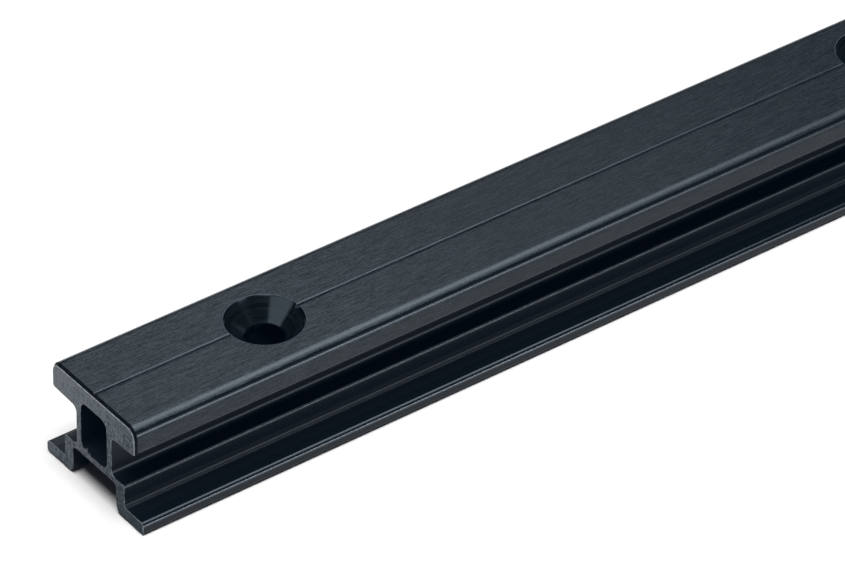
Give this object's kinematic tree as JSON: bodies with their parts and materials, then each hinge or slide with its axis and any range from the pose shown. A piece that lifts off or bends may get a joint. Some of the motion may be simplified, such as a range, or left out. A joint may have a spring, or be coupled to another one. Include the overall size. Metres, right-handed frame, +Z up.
{
  "type": "sail track section",
  "caption": "Straight low-profile deck track: a flat T head on a hollow web over two outward feet, with countersunk screw holes along its centre line.",
  "frame": {"origin": "on the level floor, under the middle of the length and of the width", "axes": "+X along the track, from the end with 26 mm to its first hole towards the end with 74 mm after its last; +Y across the track; +Z up, out of the flat head"},
  "size_m": [0.6, 0.0208, 0.0153],
  "materials": {
    "black_anodised": "black hard-anodised, satin, with fine lengthwise grain"
  },
  "bodies": {
    "root": {"track_extrusion": "black_anodised"}
  },
  "joints": []
}
